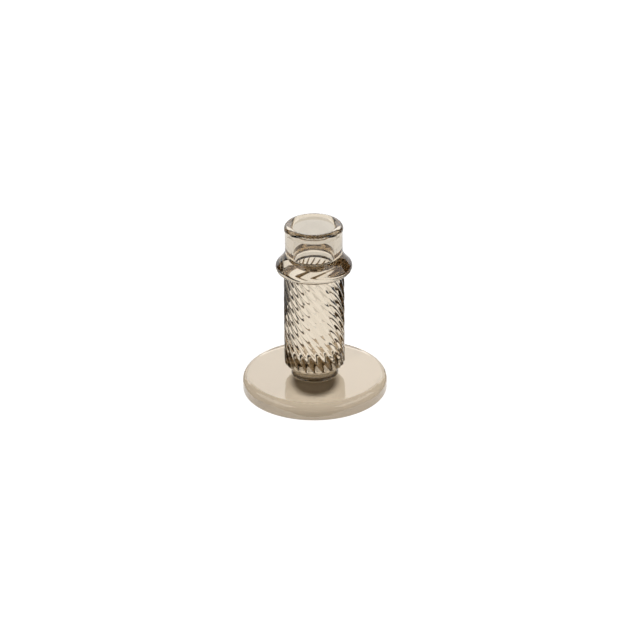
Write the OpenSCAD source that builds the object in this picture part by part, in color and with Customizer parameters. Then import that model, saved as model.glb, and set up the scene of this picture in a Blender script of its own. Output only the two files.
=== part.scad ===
// Smoky glass candlestick: a round foot, a short neck bit, a solid twisted stem, a collar ring
// and a candle cup, each a gather of hot glass welded to the next. Millimetres, +Z up, with the
// origin at the middle of the sole.

/* [Foot] */
// Diameter of the round foot
foot_d = 80; // [60:0.5:110]
// Thickness of the foot
foot_t = 9.2; // [6:0.1:14]
// Radius of the fire-polished upper edge of the foot
foot_edge_r = 4.5; // [1:0.1:4.5]
// Radius of the lower edge of the foot
foot_sole_r = 0.8; // [0.3:0.1:1.2]

/* [Neck bit] */
// Height of the glass bit that welds the stem to the foot
neck_h = 6.3; // [2:0.1:10]
// Diameter of the neck where it meets the stem
neck_d = 23; // [14:0.1:27]
// Width of the flare where the neck runs out onto the foot
neck_flare = 1.5; // [1:0.1:6]
// Height of the rounded rim at the outside of the flare
neck_rim = 0.4; // [0.2:0.1:1]

/* [Stem] */
// Length of the stem, from the neck to the candle cup
stem_len = 56.5; // [40:0.5:160]
// Diameter over the ribs at the bottom of the stem
stem_low_d = 33.5; // [31:0.1:42]
// Diameter over the ribs at the top of the stem
stem_top_d = 33.1; // [31.5:0.1:38]
// Radius of the stem's lower edge
stem_edge_r = 1.5; // [0.5:0.1:3]

/* [Ribs] */
// Number of ribs round the stem
rib_count = 22; // [12:1:30]
// Depth of the grooves between the ribs
rib_depth = 0.5; // [0.2:0.05:1.2]
// Turn of the ribs from the bottom to the top, in degrees
rib_turn = 116; // [0:1:180]

/* [Collar ring] */
// Outer diameter of the collar ring
ring_d = 41.8; // [38:0.1:52]
// Height of the ring against the candle cup
ring_h = 10.9; // [8:0.1:14]
// Radius of the ring's round outer edge
ring_edge_r = 2.6; // [1.5:0.1:3.2]

/* [Candle cup] */
// Diameter of the candle that the cup holds
candle_d = 22; // [19:0.1:24]
// Gap between the candle and the bore, on each side
candle_gap = 0.25; // [0.1:0.05:0.45]
// Thickness of the cup's wall
cup_wall = 4.45; // [3:0.05:5]
// Height of the cup, from the stem to the rim
cup_h = 27.2; // [22:0.1:45]
// Depth of the straight bore, from the rim
bore_len = 17.6; // [12:0.1:24]
// Depth of the round bowl under the bore
bowl_h = 11; // [6:0.1:12]
// Swell of the rim outside the cup's wall
lip_swell = 0.4; // [0.1:0.05:1]
// Diameter of the cup's lower end, which is sunk into the stem
seat_d = 27; // [25:0.1:29]
// Depth of that end in the stem
seat_h = 6; // [3:0.1:8]

/* [Hidden] */
$fn = 96;

arc_steps = 12;
edge_rows = 4;
stem_rows = 12;
rib_facets = 6;
rib_power = 1.2;
ring_slope = 45;
ring_pull = 0.72;

glass_pale = [0.80, 0.74, 0.64, 0.60];
glass_smoky = [0.62, 0.55, 0.46, 0.65];

foot_r = foot_d / 2;
neck_r = neck_d / 2;
seat_r = seat_d / 2;
ring_r = ring_d / 2;
bore_r = candle_d / 2 + candle_gap;
cup_r = bore_r + cup_wall;
lip_r = (cup_wall + lip_swell) / 2;
lip_mid = bore_r + lip_r;

neck_z = foot_t;
stem_z = neck_z + neck_h;
cup_z = stem_z + stem_len;

rib_cols = rib_count * rib_facets;

// Points on an arc about [cx, cz], from angle a0 to angle a1
function arc(cx, cz, r, a0, a1) = [
    for (i = [0 : arc_steps])
        let (a = a0 + (a1 - a0) * i / arc_steps)
        [cx + r * cos(a), cz + r * sin(a)]
];

// Points on a curve that leaves p0 towards p1 and arrives at p2
function bend(p0, p1, p2) = [
    for (i = [0 : arc_steps])
        let (t = i / arc_steps)
        (1 - t) * (1 - t) * p0 + 2 * t * (1 - t) * p1 + t * t * p2
];

// Flat disc with a small lower edge and a large, fire-polished upper edge
module foot() {
    color(glass_pale)
        rotate_extrude()
            polygon(concat(
                [[0, 0]],
                arc(foot_r - foot_sole_r, foot_sole_r, foot_sole_r, -90, 0),
                arc(foot_r - foot_edge_r, foot_t - foot_edge_r, foot_edge_r, 0, 90),
                [[0, foot_t]]
            ));
}

// Short waist of glass that flares in a hollow curve onto the foot
module neck_bit() {
    flare = [
        for (i = [0 : arc_steps])
            let (a = 90 * i / arc_steps)
            [neck_r + neck_flare * (1 - sin(a)), neck_rim + (neck_h - neck_rim) * (1 - cos(a))]
    ];
    color(glass_smoky)
        translate([0, 0, neck_z])
            rotate_extrude()
                polygon(concat([[0, 0], [neck_r + neck_flare, 0]], flare, [[0, neck_h]]));
}

// Radius over the ribs at height z of the stem
function crest_r(z) = (stem_low_d + (stem_top_d - stem_low_d) * z / stem_len) / 2;

// Levels of the stem as [height, radius over the ribs]: first its round lower edge, then the
// straight length
stem_levels = concat(
    [
        for (i = [0 : edge_rows])
            let (a = 90 * i / edge_rows - 90, z = stem_edge_r * (1 + sin(a)))
            [z, crest_r(z) - stem_edge_r * (1 - cos(a))]
    ],
    [
        for (i = [1 : stem_rows])
            let (z = stem_edge_r + (stem_len - stem_edge_r) * i / stem_rows)
            [z, crest_r(z)]
    ]
);

// Point on column j of a level: broad crests, sharp grooves, turning clockwise towards the top
function stem_point(level, j) =
    let (
        r = level[1] - rib_depth * (1 - pow(abs(cos(180 * j / rib_facets)), rib_power)),
        a = 360 * j / rib_cols - rib_turn * level[0] / stem_len
    )
    [r * cos(a), r * sin(a), level[0]];

module stem_blank() {
    last = len(stem_levels) - 1;
    points = concat(
        [for (level = stem_levels) for (j = [0 : rib_cols - 1]) stem_point(level, j)],
        [[0, 0, 0], [0, 0, stem_len]]
    );
    low_pole = len(points) - 2;
    top_pole = len(points) - 1;
    sides = [
        for (i = [0 : last - 1])
            for (j = [0 : rib_cols - 1])
                let (
                    k = (j + 1) % rib_cols,
                    a = i * rib_cols + j,
                    b = i * rib_cols + k,
                    c = a + rib_cols,
                    d = b + rib_cols
                )
                each [[a, c, b], [b, c, d]]
    ];
    ends = [
        for (j = [0 : rib_cols - 1])
            let (k = (j + 1) % rib_cols)
            each [
                [low_pole, j, k],
                [top_pole, last * rib_cols + k, last * rib_cols + j]
            ]
    ];
    polyhedron(points, concat(sides, ends));
}

// Ribbed rod with a round seat for the cup in its top
module twisted_stem() {
    color(glass_smoky)
        translate([0, 0, stem_z])
            difference() {
                stem_blank();
                translate([0, 0, stem_len - seat_h])
                    cylinder(h = seat_h + 1, r = seat_r);
            }
}

// Ring with a round outer edge and a long slope that runs up to the cup
module collar_ring() {
    mid_r = ring_r - ring_edge_r;
    edge = arc(mid_r, ring_edge_r, ring_edge_r, -90, ring_slope);
    crest = edge[arc_steps];
    pull = (crest[0] - cup_r) * ring_pull;
    color(glass_smoky)
        translate([0, 0, cup_z])
            rotate_extrude()
                polygon(concat(
                    [[cup_r, 0]],
                    edge,
                    bend(crest, crest + [-pull, pull * tan(ring_slope)], [cup_r, ring_h])
                ));
}

// Cup with a straight bore over a round bowl, a swollen round rim and a lower end sunk in the stem
module candle_cup() {
    lip_z = cup_h - lip_r;
    bowl_z = cup_h - bore_len;
    lip_low = -acos((cup_r - lip_mid) / lip_r);
    bowl = [
        for (i = [0 : 2 * arc_steps])
            let (a = -90 * i / (2 * arc_steps))
            [i == 2 * arc_steps ? 0 : bore_r * cos(a), bowl_z + bowl_h * sin(a)]
    ];
    color(glass_pale)
        translate([0, 0, cup_z])
            rotate_extrude()
                polygon(concat(
                    [[0, -seat_h], [seat_r, -seat_h], [seat_r, 0], [cup_r, 0]],
                    arc(lip_mid, lip_z, lip_r, lip_low, 180),
                    bowl
                ));
}

foot();
neck_bit();
twisted_stem();
collar_ring();
candle_cup();
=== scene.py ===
import math

import bpy
import numpy as np
from bpy.props import FloatProperty, FloatVectorProperty, IntProperty, PointerProperty
from mathutils import Matrix, Vector


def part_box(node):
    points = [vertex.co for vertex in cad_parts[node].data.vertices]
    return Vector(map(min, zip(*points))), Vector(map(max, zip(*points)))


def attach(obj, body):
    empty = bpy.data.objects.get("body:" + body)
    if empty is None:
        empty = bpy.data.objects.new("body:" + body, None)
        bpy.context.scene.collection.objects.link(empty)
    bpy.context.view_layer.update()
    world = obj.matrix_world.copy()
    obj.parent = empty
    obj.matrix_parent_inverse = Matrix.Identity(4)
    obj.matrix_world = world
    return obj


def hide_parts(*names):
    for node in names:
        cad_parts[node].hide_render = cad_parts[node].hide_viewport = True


bl_info = {
    "name": "Twisted glass candlestick",
    "version": (1, 0, 0),
    "blender": (4, 5, 0),
    "location": "View3D > Sidebar > Candlestick",
    "description": "Builds a smoky glass candlestick with a twisted, ribbed stem and its studio",
    "category": "Add Mesh",
}

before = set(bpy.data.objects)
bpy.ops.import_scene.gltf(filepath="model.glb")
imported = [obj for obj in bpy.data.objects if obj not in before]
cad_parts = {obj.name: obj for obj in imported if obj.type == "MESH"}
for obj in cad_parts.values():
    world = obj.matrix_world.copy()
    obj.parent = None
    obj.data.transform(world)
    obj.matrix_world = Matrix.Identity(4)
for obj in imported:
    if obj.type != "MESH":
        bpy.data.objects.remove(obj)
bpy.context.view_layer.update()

MM = 0.001
BODY = "root"
IMAGE_PX = 640
SENSOR_MM = 36.0

# Gap left between welded faces, so that no two faces lie in one plane
WELD_GAP = 0.02 * MM
# Edges that fold by more than this stay crisp
CRISP_ANGLE = math.radians(35)
# Columns round a turned piece, and across one rib of the stem
TURN_COLUMNS = 352
RIB_COLUMNS = 20

# Points in a level row that bends round the stage, and reach of the floor in metres
ROUND_POINTS = 49
FLOOR_REACH = 20.0
# Softboxes: azimuth and elevation in degrees, distance and size in metres, and light
SOFTBOXES = {
    "softbox_back": (180, 27, 1.3, (2.4, 0.42), 1.2),
    "softbox_right": (75, 38, 0.9, (1.1, 0.42), 1.5),
    "softbox_left": (-75, 38, 0.9, (1.1, 0.42), 1.5),
}
# Light bounces that thick glass needs
GLASS_BOUNCES = 40
GLOSSY_BOUNCES = 24
# Sockets of a colour mix: its two inputs and its result
MIX_A = 6
MIX_B = 7
MIX_OUT = 2
WHITE = (1, 1, 1, 1)
BLACK = (0, 0, 0, 1)

# Kinds of face: glass with the smoky coat, the neck's glass with painted shade laid over the coat, bare
# glass, a weld between two pieces, and the ground sole
OPEN = "coat"
PAINTED_NECK_SHADE = "deep"
BARE = "bare"
WELD = "weld"
GROUND = "ground"

FOOT_LOW, FOOT_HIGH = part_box("foot")
NECK_LOW, NECK_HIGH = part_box("neck_bit")
STEM_LOW, STEM_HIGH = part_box("twisted_stem")
RING_LOW, RING_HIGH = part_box("collar_ring")
CUP_LOW, CUP_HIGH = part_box("candle_cup")


def linear(code):
    """Linear RGB of an sRGB hex colour."""
    parts = np.array([int(code[i : i + 2], 16) for i in (1, 3, 5)]) / 255
    curve = np.where(parts <= 0.04045, parts / 12.92, ((parts + 0.055) / 1.055) ** 2.4)
    return tuple(curve.tolist())


def length(name, description, default):
    """One length property, given in millimetres and kept in metres."""
    return FloatProperty(name=name, description=description, default=default * MM, unit="LENGTH", precision=5)


def angle(name, description, default):
    """One angle property, given in degrees."""
    return FloatProperty(name=name, description=description, default=math.radians(default), subtype="ANGLE")


def colour(name, description, code):
    """One colour property, given as an sRGB hex value."""
    return FloatVectorProperty(
        name=name, description=description, default=linear(code), subtype="COLOR", min=0, max=1
    )


class CandlestickSizes(bpy.types.PropertyGroup):
    """Sizes of the glass pieces. Their outer sizes come from the frame."""

    foot_edge_r: length("Foot edge", "Radius of the foot's fire-polished upper edge", 4.5)
    foot_sole_r: length("Sole edge", "Radius of the foot's lower edge", 0.8)
    neck_r: length("Neck", "Radius of the neck where it meets the stem", 11.5)
    neck_rim: length("Neck rim", "Height of the rim at the outside of the neck's flare", 0.4)
    stem_low_r: length("Stem bottom", "Radius over the ribs at the bottom of the stem", 16.75)
    stem_top_r: length("Stem top", "Radius over the ribs at the top of the stem", 16.55)
    stem_edge_r: length("Stem edge", "Radius of the stem's lower edge", 1.5)
    rib_count: IntProperty(name="Ribs", description="Number of ribs round the stem", default=22)
    rib_depth: length("Groove", "Depth of the grooves between the ribs", 0.5)
    rib_power: FloatProperty(name="Rib shape", description="Power of the cosine across a rib", default=1.2)
    rib_turn: angle("Twist", "Turn of the ribs from the bottom of the stem to its top", 116)
    rib_fade: length("Groove end", "Distance over which the grooves rise out of the neck", 3.0)
    ring_edge_r: length("Ring edge", "Radius of the collar ring's outer edge", 2.6)
    ring_slope: angle("Ring slope", "Angle at which the ring's round edge runs into its slope", 45)
    ring_pull: FloatProperty(name="Ring pull", description="How far the slope runs straight", default=0.72)
    cup_r: length("Cup", "Outer radius of the cup's wall", 15.7)
    bore_r: length("Bore", "Radius of the bore that holds the candle", 11.25)
    bore_len: length("Bore depth", "Depth of the straight bore, from the rim", 17.6)
    bowl_h: length("Bowl", "Depth of the round bowl under the bore", 11.0)
    seat_r: length("Seat", "Radius of the cup's lower end, which is sunk into the stem", 13.5)
    seat_h: length("Seat depth", "Depth of that end in the stem", 6.0)


class CandlestickGlass(bpy.types.PropertyGroup):
    """Finish of the glass."""

    ior: FloatProperty(name="IOR", description="Refractive index of soda-lime glass", default=1.52)
    coat: colour("Coat", "Colour that the coat gives light inside the glass", "#EAE2D5")
    # Painted shade: the neck's faces get this darker colour in place of the shade that falls round the neck
    deep: colour("Painted neck shade", "Colour of the coat in the hollow of the neck", "#8A7A62")
    tint: colour("Tint", "Colour that the glass itself lets through", "#D9BC7C")
    density: FloatProperty(name="Density", description="Strength of the tint, per metre", default=1.5)
    ground: FloatProperty(name="Ground sole", description="Roughness of the ground sole", default=1.0)
    wave: length("Waves", "Length of the faint waves that hot tools leave in the surface", 9.0)
    wave_h: length("Wave height", "Height of those waves", 0.05)


class CandlestickStage(bpy.types.PropertyGroup):
    """Camera and light of the studio."""

    aim_z: length("Aim height", "Height on the axis that the camera is placed about", 45)
    distance: length("Distance", "Distance of the camera from that point", 1600)
    elevation: angle("Elevation", "Height of the camera above the horizon", 27.046)
    roll: angle("Roll", "Lean of the camera about its own axis", -0.479)
    focal_px: FloatProperty(name="Focal length", description="Focal length in image pixels", default=2916.5)
    aim_px: FloatVectorProperty(
        name="Aim pixel",
        description="Where the aim point falls in the image, from its middle, right and down",
        size=2,
        default=(-5.613, -6.308),
    )
    floor: colour("Floor", "Colour of the floor", "#A0A0A0")
    floor_glow: FloatProperty(name="Floor glow", description="Light from below the white floor", default=1.0)
    shade_x: length("Shade width", "Half the width of the shade round the neck", 16)
    shade_y: length("Shade length", "Half the length of that shade", 23)
    shade_shift: length("Shade shift", "Shift of its middle towards the camera", 4)
    shade: colour("Shade", "Share of the floor's light left there", "#3A332A")
    shade_core: FloatProperty(name="Shade core", description="Share of it that is fully dark", default=0.6)
    card_in: length("Card inside", "Distance of the side cards from the axis", 48)
    card_out: length("Card outside", "Reach of the cards to the sides and the front", 150)
    card_back: length("Card back", "Reach of the side cards behind the axis", 110)
    card_front: length("Card front", "Distance of the front card from the axis", 44)
    card_z: length("Card height", "Height of the cards above the floor", 0.15)
    far_in: length("Far floor inside", "Radius at which the dimmer floor starts", 155)
    far_out: length("Far floor outside", "Radius at which the dimmer floor ends", 3000)
    far_z: length("Far floor height", "Height of the dimmer floor", 0.1)
    far_light: FloatProperty(name="Far floor light", description="Light of the dimmer floor", default=0.87)
    screen_r: length("Screen", "Distance of the white screen behind the glass", 1500)
    screen_h: length("Screen height", "Height of that screen", 1500)
    screen_half: FloatProperty(name="Screen width", description="Half its width in degrees", default=40)
    backdrop_r: length("Backdrop", "Distance of the white backdrop that closes the horizon", 4000)
    backdrop_h: length("Backdrop height", "Height of that backdrop", 3000)
    room: colour("Room", "Colour of the dark room", "#121212")


def add_node(tree, kind, inputs=None, **settings):
    """Adds a node, applies its settings, and sets or links each named input."""
    node = tree.nodes.new(kind)
    for key, value in settings.items():
        setattr(node, key, value)
    for key, value in (inputs or {}).items():
        if isinstance(value, bpy.types.NodeSocket):
            tree.links.new(value, node.inputs[key])
        else:
            node.inputs[key].default_value = value
    return node


def new_material(name):
    """An empty material and its node tree."""
    material = bpy.data.materials.new(name)
    material.use_nodes = True
    material.node_tree.nodes.clear()
    return material, material.node_tree


def smoky_glass(finish):
    """Smoky soda-lime glass, blown and fire-polished: clear and glossy, with a thin taupe coat.

    Light gets the square root of the coat's colour on its way in, and the whole colour each time it leaves
    the glass or is thrown back inside, so the rim and the ring look dark. Faint waves left by the tools
    make its lines of light wander. The welded faces bend no light, so the pieces look fused, and the sole
    is ground to a matt face.
    """
    name = "smoky_soda_lime_glass"
    if name in bpy.data.materials:
        return bpy.data.materials[name]
    material, tree = new_material(name)
    weld = add_node(tree, "ShaderNodeAttribute", attribute_name=WELD)
    ior = add_node(
        tree,
        "ShaderNodeMapRange",
        {"Value": weld.outputs["Fac"], "To Min": finish.ior, "To Max": 1.0},
    )
    place = add_node(tree, "ShaderNodeTexCoord").outputs["Object"]
    ground = add_node(tree, "ShaderNodeAttribute", attribute_name=GROUND)
    matt = add_node(
        tree,
        "ShaderNodeMath",
        {0: ground.outputs["Fac"], 1: finish.ground},
        operation="MULTIPLY",
    )
    waves = add_node(
        tree,
        "ShaderNodeTexNoise",
        {"Vector": place, "Scale": 1 / finish.wave, "Detail": 2.0, "Roughness": 0.4},
    )
    bump = add_node(
        tree,
        "ShaderNodeBump",
        {"Strength": 1.0, "Distance": finish.wave_h, "Height": waves.outputs["Fac"]},
    )
    coat = add_node(tree, "ShaderNodeAttribute", attribute_name=OPEN)
    sprayed = add_node(
        tree,
        "ShaderNodeMath",
        {0: coat.outputs["Fac"], 1: ground.outputs["Fac"]},
        operation="ADD",
    )
    shade = add_node(
        tree,
        "ShaderNodeMix",
        {"Factor": sprayed.outputs["Value"], MIX_A: WHITE, MIX_B: (*finish.coat, 1)},
        data_type="RGBA",
    )
    # Painted shade: faces flagged on the neck take the darker shade colour over the coat
    painted_shade_mask = add_node(tree, "ShaderNodeAttribute", attribute_name=PAINTED_NECK_SHADE)
    deep = add_node(
        tree,
        "ShaderNodeMix",
        {"Factor": painted_shade_mask.outputs["Fac"], MIX_A: shade.outputs[MIX_OUT], MIX_B: (*finish.deep, 1)},
        data_type="RGBA",
    )
    surface = add_node(
        tree,
        "ShaderNodeBsdfPrincipled",
        {
            "Base Color": deep.outputs[MIX_OUT],
            "Roughness": matt.outputs["Value"],
            "IOR": ior.outputs["Result"],
            "Transmission Weight": 1.0,
            "Normal": bump.outputs["Normal"],
        },
    )
    inner = add_node(
        tree,
        "ShaderNodeBsdfGlass",
        {
            "Color": deep.outputs[MIX_OUT],
            "Roughness": matt.outputs["Value"],
            "IOR": ior.outputs["Result"],
            "Normal": bump.outputs["Normal"],
        },
    )
    side = add_node(tree, "ShaderNodeNewGeometry")
    both = add_node(
        tree,
        "ShaderNodeMixShader",
        {0: side.outputs["Backfacing"], 1: surface.outputs["BSDF"], 2: inner.outputs["BSDF"]},
    )
    volume = add_node(
        tree,
        "ShaderNodeVolumeAbsorption",
        {"Color": (*finish.tint, 1.0), "Density": finish.density},
    )
    add_node(
        tree,
        "ShaderNodeOutputMaterial",
        {"Surface": both.outputs["Shader"], "Volume": volume.outputs["Volume"]},
    )
    return material


def line(start, end, steps):
    """Points from start to end in equal steps, both ends included."""
    return np.linspace(start, end, steps + 1)


def arc(middle, radii, start, end, steps):
    """Points on an ellipse about a middle point, from one angle to another in degrees."""
    turn = np.radians(np.linspace(start, end, steps + 1))
    radii = np.broadcast_to(radii, 2)
    return np.stack([middle[0] + radii[0] * np.cos(turn), middle[1] + radii[1] * np.sin(turn)], 1)


def bend(start, pull, end, steps):
    """Points on a quadratic curve that leaves start towards pull and arrives at end."""
    t = np.linspace(0, 1, steps + 1)[:, None]
    return (1 - t) ** 2 * np.array(start) + 2 * t * (1 - t) * np.array(pull) + t**2 * np.array(end)


def bowl(radius, depth, steps):
    """Points of a round bowl from its edge at height 0 down to its pole."""
    points = arc((0, 0), (radius, depth), 0, -90, steps)
    points[-1, 0] = 0
    return points


def outline(*stretches):
    """Joins stretches of (points, kind of face) into one profile.

    Gives the points, the kind of face of each step between them, and each point's stretch by number.
    """
    points = [stretches[0][0][:1]]
    kinds = []
    number = [np.zeros(1, int)]
    for i, (stretch, kind) in enumerate(stretches):
        steps = len(stretch) - 1
        points.append(stretch[1:])
        kinds.append(np.full(steps, kind))
        number.append(np.full(steps, i))
    return np.concatenate(points), np.concatenate(kinds), np.concatenate(number)


def turned(profile):
    """Surface of revolution: x = r cos a, y = r sin a, with (r, z) along the profile."""
    turn = np.arange(TURN_COLUMNS) * 2 * np.pi / TURN_COLUMNS
    r = profile[:, :1]
    z = np.repeat(profile[:, 1:], TURN_COLUMNS, axis=1)
    return np.stack([r * np.cos(turn), r * np.sin(turn), z], axis=-1)


def quad_rows(start, rows, columns):
    """Corner numbers of the four-sided faces between rows of points, closed round the columns."""
    j = np.arange(columns)
    k = (j + 1) % columns
    low = start + np.arange(rows - 1)[:, None] * columns
    high = low + columns
    return np.stack([low + j, low + k, high + k, high + j], axis=-1).reshape(-1, 4)


def glass_piece(name, grid, kinds, material):
    """Puts a grid whose first and last rows are poles into a closed mesh.

    A grid whose first and last rows are the same ring of points is joined there instead.
    """
    rows, columns = grid.shape[:2]
    j = np.arange(columns)
    k = (j + 1) % columns
    if np.ptp(grid[0], axis=0).max() > 0:
        points = grid[:-1].reshape(-1, 3)
        faces = (quad_rows(0, rows, columns) % len(points)).tolist()
    else:
        points = np.vstack([grid[0, :1], grid[1:-1].reshape(-1, 3), grid[-1, :1]])
        last = len(points) - 1
        first_fan = np.stack([np.zeros_like(j), 1 + k, 1 + j], axis=-1)
        last_fan = np.stack([np.full_like(j, last), last - columns + j, last - columns + k], axis=-1)
        faces = first_fan.tolist() + quad_rows(1, rows - 2, columns).tolist() + last_fan.tolist()
    mesh = bpy.data.meshes.new(name)
    mesh.from_pydata(points, [], faces)
    for kind in (OPEN, PAINTED_NECK_SHADE, WELD, GROUND):
        flag = mesh.attributes.new(kind, "FLOAT", "FACE")
        flag.data.foreach_set("value", np.repeat(kinds == kind, columns).astype(np.float32))
    mesh.shade_smooth()
    mesh.set_sharp_from_angle(angle=CRISP_ANGLE)
    mesh.materials.append(material)
    piece = bpy.data.objects.new(name, mesh)
    bpy.context.scene.collection.objects.link(piece)
    return piece


def stand_for(context, node, name, grid, kinds):
    """Makes a piece of smoky glass, puts it on the body and hides the node that it stands for."""
    piece = glass_piece(name, grid, kinds, smoky_glass(context.scene.candlestick_glass))
    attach(piece, BODY)
    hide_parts(node)


class CANDLESTICK_OT_foot(bpy.types.Operator):
    """Round foot: a disc with a ground sole, a small lower edge and a large fire-polished upper edge"""

    bl_idname = "candlestick.foot"
    bl_label = "Foot"

    def execute(self, context):
        sizes = context.scene.candlestick_sizes
        radius = FOOT_HIGH.x
        top = FOOT_HIGH.z
        weld_r = NECK_HIGH.x
        sole = sizes.foot_sole_r
        edge = sizes.foot_edge_r
        profile, kinds, _ = outline(
            (line((0, 0), (radius - sole, 0), 24), GROUND),
            (arc((radius - sole, sole), sole, -90, 0, 8), OPEN),
            (line((radius, sole), (radius, top - edge), 8), OPEN),
            (arc((radius - edge, top - edge), edge, 0, 90, 24), OPEN),
            (line((radius - edge, top), (weld_r, top), 20), OPEN),
            (line((weld_r, top), (0, top), 8), WELD),
        )
        stand_for(context, "foot", "foot_disc", turned(profile), kinds)
        return {"FINISHED"}


class CANDLESTICK_OT_neck(bpy.types.Operator):
    """Neck bit: a short waist that flares in a hollow curve onto the foot"""

    bl_idname = "candlestick.neck"
    bl_label = "Neck bit"

    def execute(self, context):
        sizes = context.scene.candlestick_sizes
        low = NECK_LOW.z + WELD_GAP
        high = NECK_HIGH.z
        flare_r = NECK_HIGH.x
        rim = low + sizes.neck_rim
        profile, kinds, _ = outline(
            (line((0, low), (flare_r, low), 8), WELD),
            # The neck's outer faces carry painted shade, a darker colour in place of the shade round the neck
            (line((flare_r, low), (flare_r, rim), 2), PAINTED_NECK_SHADE),
            (arc((flare_r, high), (flare_r - sizes.neck_r, high - rim), 270, 180, 20), PAINTED_NECK_SHADE),
            (line((sizes.neck_r, high), (0, high), 8), WELD),
        )
        stand_for(context, "neck_bit", "neck_waist", turned(profile), kinds)
        return {"FINISHED"}


def groove(phase, power):
    """Depth across a rib as a share of the groove: 1 - |cos(pi t)| ** power, so a whole phase is a crest."""
    return 1 - np.abs(np.cos(np.pi * phase)) ** power


class CANDLESTICK_OT_stem(bpy.types.Operator):
    """Twisted stem: a solid rod with ribs in a left-handed screw and a flat lower end"""

    bl_idname = "candlestick.stem"
    bl_label = "Twisted stem"

    def execute(self, context):
        sizes = context.scene.candlestick_sizes
        low = STEM_LOW.z + WELD_GAP
        high = STEM_HIGH.z
        edge = sizes.stem_edge_r
        seat = sizes.seat_r
        seat_z = high - sizes.seat_h
        side = sizes.stem_low_r
        profile, kinds, stretch = outline(
            (line((0, low), (sizes.neck_r, low), 4), WELD),
            (line((sizes.neck_r, low), (side - edge, low), 12), OPEN),
            (arc((side - edge, low + edge), edge, -90, 0, 12), OPEN),
            (line((side, low + edge), (sizes.stem_top_r, high), 110), OPEN),
            (line((sizes.stem_top_r, high), (seat, high), 4), WELD),
            (line((seat, high), (seat, seat_z), 4), WELD),
            (line((seat, seat_z), (0, seat_z), 4), WELD),
        )
        # The grooves rise out of the neck over stretches 1 to 3, and run out across the weld at the top
        ribbed = (stretch > 0) & (stretch < 4)
        rise = np.clip((profile[:, 0] - sizes.neck_r) / sizes.rib_fade, 0, 1)
        depth = np.where(ribbed, rise * rise * (3 - 2 * rise), 0.0)
        rim = stretch == 4
        depth[rim] = np.linspace(1, 0, rim.sum() + 1)[1:]

        columns = sizes.rib_count * RIB_COLUMNS
        share = np.arange(columns) / columns
        cut = sizes.rib_depth * groove(sizes.rib_count * share, sizes.rib_power)
        r = profile[:, :1] - depth[:, None] * cut
        z = np.repeat(profile[:, 1:], columns, axis=1)
        turn = 2 * np.pi * share - sizes.rib_turn * (z - low) / (high - low)
        grid = np.stack([r * np.cos(turn), r * np.sin(turn), z], axis=-1)
        stand_for(context, "twisted_stem", "twisted_stem_rod", grid, kinds)
        return {"FINISHED"}


class CANDLESTICK_OT_ring(bpy.types.Operator):
    """Collar ring: a round edge under a long slope that runs up to the cup"""

    bl_idname = "candlestick.ring"
    bl_label = "Collar ring"

    def execute(self, context):
        sizes = context.scene.candlestick_sizes
        low = RING_LOW.z + WELD_GAP
        high = RING_HIGH.z
        inner = sizes.cup_r + WELD_GAP
        edge = sizes.ring_edge_r
        middle = (RING_HIGH.x - edge, low + edge)
        slope = sizes.ring_slope
        round_edge = arc(middle, edge, -90, math.degrees(slope), 28)
        crest = round_edge[-1]
        run = (crest[0] - inner) * sizes.ring_pull
        pull = crest + np.array([-run, run * math.tan(slope)])
        weld_r = sizes.stem_top_r - sizes.rib_depth / 2
        profile, kinds, _ = outline(
            (line((inner, low), (weld_r, low), 2), WELD),
            (line((weld_r, low), round_edge[0], 6), OPEN),
            (round_edge, OPEN),
            (bend(crest, pull, (inner, high), 24), OPEN),
            (line((inner, high), (inner, low), 8), WELD),
        )
        stand_for(context, "collar_ring", "collar_ring_band", turned(profile), kinds)
        return {"FINISHED"}


class CANDLESTICK_OT_cup(bpy.types.Operator):
    """Candle cup: a straight bore over a round bowl, a swollen round rim and a lower end in the stem"""

    bl_idname = "candlestick.cup"
    bl_label = "Candle cup"

    def execute(self, context):
        sizes = context.scene.candlestick_sizes
        low = CUP_LOW.z + sizes.seat_h + WELD_GAP
        high = CUP_HIGH.z
        bore = sizes.bore_r
        lip = (CUP_HIGH.x - bore) / 2
        lip_mid = (bore + lip, high - lip)
        lip_start = -math.degrees(math.acos((sizes.cup_r - lip_mid[0]) / lip))
        round_lip = arc(lip_mid, lip, lip_start, 180, 40)
        seat = sizes.seat_r - WELD_GAP
        seat_z = low - sizes.seat_h
        bowl_z = high - sizes.bore_len
        profile, kinds, _ = outline(
            (line((0, seat_z), (seat, seat_z), 6), WELD),
            (line((seat, seat_z), (seat, low), 4), WELD),
            (line((seat, low), (sizes.cup_r, low), 2), WELD),
            (line((sizes.cup_r, low), (sizes.cup_r, RING_HIGH.z), 8), WELD),
            (line((sizes.cup_r, RING_HIGH.z), round_lip[0], 14), OPEN),
            (round_lip, OPEN),
            (line(round_lip[-1], (bore, bowl_z), 14), BARE),
            (bowl(bore, sizes.bowl_h, 36) + (0, bowl_z), BARE),
        )
        stand_for(context, "candle_cup", "candle_cup_socket", turned(profile), kinds)
        return {"FINISHED"}


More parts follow.
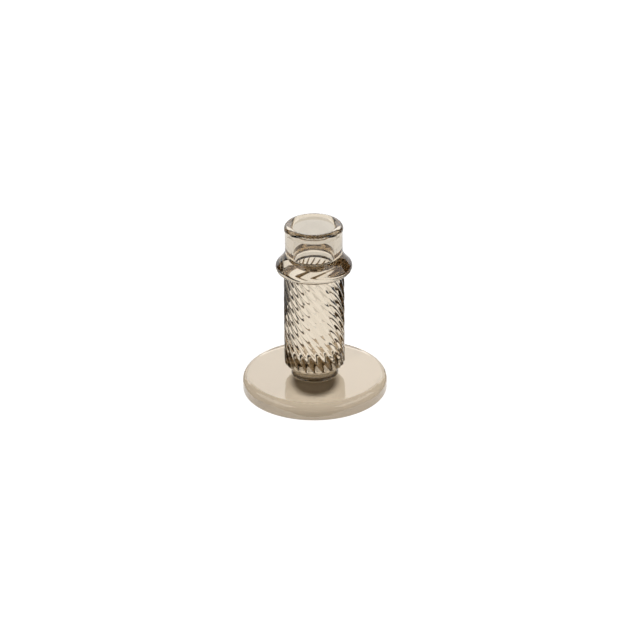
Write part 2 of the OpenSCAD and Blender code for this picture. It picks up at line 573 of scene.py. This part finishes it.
def white_floor(settings):
    """Matt white acrylic sheet, lit from below, so it stays white right up to the foot.

    The thick middle of the candlestick shades it, so its light falls off towards the neck.
    """
    material, tree = new_material("matt_white_acrylic")
    place = add_node(tree, "ShaderNodeTexCoord").outputs["Object"]
    reach = (1 / settings.shade_x, 1 / settings.shade_y, 0)
    spread = add_node(
        tree,
        "ShaderNodeVectorMath",
        {0: place, 1: reach, 2: (0, settings.shade_shift / settings.shade_y, 0)},
        operation="MULTIPLY_ADD",
    )
    middle = add_node(tree, "ShaderNodeVectorMath", {0: spread.outputs["Vector"]}, operation="LENGTH")
    open_floor = add_node(
        tree,
        "ShaderNodeMapRange",
        {"Value": middle.outputs["Value"], "From Min": settings.shade_core, "From Max": 1.0},
        interpolation_type="SMOOTHSTEP",
    )
    light = add_node(
        tree,
        "ShaderNodeMix",
        {"Factor": open_floor.outputs["Result"], MIX_A: (*settings.shade, 1), MIX_B: WHITE},
        data_type="RGBA",
    )
    surface = add_node(
        tree,
        "ShaderNodeBsdfPrincipled",
        {
            "Base Color": (*settings.floor, 1.0),
            "Roughness": 0.9,
            "Specular IOR Level": 0.0,
            "Emission Color": light.outputs[MIX_OUT],
            "Emission Strength": settings.floor_glow,
        },
    )
    add_node(tree, "ShaderNodeOutputMaterial", {"Surface": surface.outputs["BSDF"]})
    return material


def paper(name, light):
    """Matt paper that gives off an even light, or black card where that light is nought."""
    material, tree = new_material(name)
    surface = add_node(
        tree,
        "ShaderNodeBsdfPrincipled",
        {
            "Base Color": BLACK,
            "Roughness": 1.0,
            "Specular IOR Level": 0.0,
            "Emission Color": WHITE,
            "Emission Strength": light,
        },
    )
    add_node(tree, "ShaderNodeOutputMaterial", {"Surface": surface.outputs["BSDF"]})
    return material


def round_row(radius, z, start, end):
    """Level row of points round the axis between two azimuths in degrees. Azimuth 0 faces the camera."""
    turn = np.radians(np.linspace(start, end, ROUND_POINTS))
    return np.stack([radius * np.sin(turn), -radius * np.cos(turn), np.full_like(turn, z)], axis=1)


def sheet(name, low, high, material, seen=False):
    """Stage piece stretched between two rows of points. One that isn't seen acts on the glass alone."""
    count = len(low)
    j = np.arange(count - 1)
    faces = np.stack([j, j + 1, j + count + 1, j + count], axis=-1)
    mesh = bpy.data.meshes.new(name)
    mesh.from_pydata(np.vstack([low, high]), [], faces.tolist())
    mesh.materials.append(material)
    piece = bpy.data.objects.new(name, mesh)
    bpy.context.scene.collection.objects.link(piece)
    piece.visible_camera = seen
    piece.visible_diffuse = seen
    piece.visible_shadow = seen
    return piece


def level_sheet(name, low, high, z, material, seen=False):
    """Level rectangle between two corners, as a stage piece."""
    front = [(low[0], low[1], z), (high[0], low[1], z)]
    back = [(low[0], high[1], z), (high[0], high[1], z)]
    sheet(name, front, back, material, seen)


def softbox(name, target, azimuth, elevation, distance, size, radiance):
    """Rectangular area light that faces a target point. Azimuth 0 is the camera's side, +90 is +X.

    It shows in reflections but not through the glass, which looks onto the floor and the cards.
    """
    light = bpy.data.lights.new(name, "AREA")
    light.shape = "RECTANGLE"
    light.size, light.size_y = size
    light.energy = radiance * math.pi * size[0] * size[1]
    lamp = bpy.data.objects.new(name, light)
    a = math.radians(azimuth)
    e = math.radians(elevation)
    way = Vector((math.sin(a) * math.cos(e), -math.cos(a) * math.cos(e), math.sin(e)))
    place = Matrix.Translation(target + way * distance)
    lamp.matrix_world = place @ way.to_track_quat("Z", "Y").to_matrix().to_4x4()
    lamp.visible_transmission = False
    bpy.context.scene.collection.objects.link(lamp)


class CANDLESTICK_OT_stage(bpy.types.Operator):
    """Studio: white floor, black cards, soft light from behind and both sides, and the camera"""

    bl_idname = "candlestick.stage"
    bl_label = "Studio"

    def execute(self, context):
        scene = context.scene
        settings = scene.candlestick_stage
        floor = white_floor(settings)
        reach = FLOOR_REACH
        level_sheet("studio_floor", (-reach, -reach), (reach, reach), -WELD_GAP, floor, True)
        self.place_cards(settings)
        white = paper("white_paper", 1.0)
        radius = settings.far_in, settings.far_out
        near, far = (round_row(r, settings.far_z, 0, 360) for r in radius)
        sheet("floor_far", near, far, paper("dim_paper", settings.far_light))
        span = 180 - settings.screen_half, 180 + settings.screen_half
        foot, head = (round_row(settings.screen_r, z, *span) for z in (0, settings.screen_h))
        sheet("screen_back", foot, head, white)
        foot, head = (round_row(settings.backdrop_r, z, 0, 360) for z in (0, settings.backdrop_h))
        backdrop = sheet("backdrop", foot, head, white)
        backdrop.visible_camera = True
        backdrop.visible_glossy = False
        backdrop.visible_transmission = False

        world = bpy.data.worlds.new("studio_room")
        scene.world = world
        world.use_nodes = True
        world.node_tree.nodes["Background"].inputs["Color"].default_value = (*settings.room, 1)

        aim = Vector((0, 0, settings.aim_z))
        for name, spec in SOFTBOXES.items():
            softbox(name, aim, *spec)
        self.place_camera(scene, settings, aim)
        scene.view_settings.view_transform = "Standard"
        scene.cycles.max_bounces = GLASS_BOUNCES
        scene.cycles.transmission_bounces = GLASS_BOUNCES
        scene.cycles.glossy_bounces = GLOSSY_BOUNCES
        scene.cycles.transparent_max_bounces = GLASS_BOUNCES
        return {"FINISHED"}

    def place_cards(self, settings):
        """Black cards to the left, the right and the front, which only the glass sees."""
        card = paper("matt_black_card", 0.0)
        near, out, back, z = settings.card_in, settings.card_out, settings.card_back, settings.card_z
        level_sheet("card_left", (-out, -out), (-near, back), z, card)
        level_sheet("card_right", (near, -out), (out, back), z, card)
        level_sheet("card_front", (-near, -out), (near, -settings.card_front), z, card)

    def place_camera(self, scene, settings, aim):
        """Camera on a ray from the aim point, turned so that the aim point falls on its pixel."""
        tilt = settings.elevation
        back = Vector((0, -math.cos(tilt), math.sin(tilt)))
        right = Vector((1, 0, 0))
        up = back.cross(right)
        look = Matrix((right, up, back)).transposed().to_4x4()
        dx, dy = settings.aim_px
        nudge = Matrix.Rotation(math.atan(dx / settings.focal_px), 4, "Y")
        nudge = nudge @ Matrix.Rotation(math.atan(dy / settings.focal_px), 4, "X")
        data = bpy.data.cameras.new("photo_camera")
        data.sensor_width = SENSOR_MM
        data.lens = settings.focal_px / IMAGE_PX * SENSOR_MM
        data.clip_start = 0.01
        camera = bpy.data.objects.new("photo_camera", data)
        place = Matrix.Translation(aim + back * settings.distance)
        camera.matrix_world = place @ look @ nudge @ Matrix.Rotation(settings.roll, 4, "Z")
        scene.collection.objects.link(camera)
        scene.camera = camera


class CANDLESTICK_PT_panel(bpy.types.Panel):
    """Lists the candlestick's pieces and settings"""

    bl_label = "Candlestick"
    bl_idname = "CANDLESTICK_PT_panel"
    bl_space_type = "VIEW_3D"
    bl_region_type = "UI"
    bl_category = "Candlestick"

    def draw(self, context):
        layout = self.layout
        for operator in OPERATORS:
            layout.operator(operator.bl_idname)
        for group in SETTINGS:
            settings = getattr(context.scene, group)
            for key in settings.__annotations__:
                layout.prop(settings, key)


OPERATORS = (
    CANDLESTICK_OT_foot,
    CANDLESTICK_OT_neck,
    CANDLESTICK_OT_stem,
    CANDLESTICK_OT_ring,
    CANDLESTICK_OT_cup,
    CANDLESTICK_OT_stage,
)
SETTINGS = {
    "candlestick_sizes": CandlestickSizes,
    "candlestick_glass": CandlestickGlass,
    "candlestick_stage": CandlestickStage,
}


def register():
    for group in (*SETTINGS.values(), *OPERATORS, CANDLESTICK_PT_panel):
        bpy.utils.register_class(group)
    for name, group in SETTINGS.items():
        setattr(bpy.types.Scene, name, PointerProperty(type=group))


def unregister():
    for name in SETTINGS:
        delattr(bpy.types.Scene, name)
    for group in reversed((*SETTINGS.values(), *OPERATORS, CANDLESTICK_PT_panel)):
        bpy.utils.unregister_class(group)


def main():
    register()
    bpy.ops.candlestick.stage()
    bpy.ops.candlestick.foot()
    bpy.ops.candlestick.neck()
    bpy.ops.candlestick.stem()
    bpy.ops.candlestick.ring()
    bpy.ops.candlestick.cup()


if __name__ == "__main__":
    main()
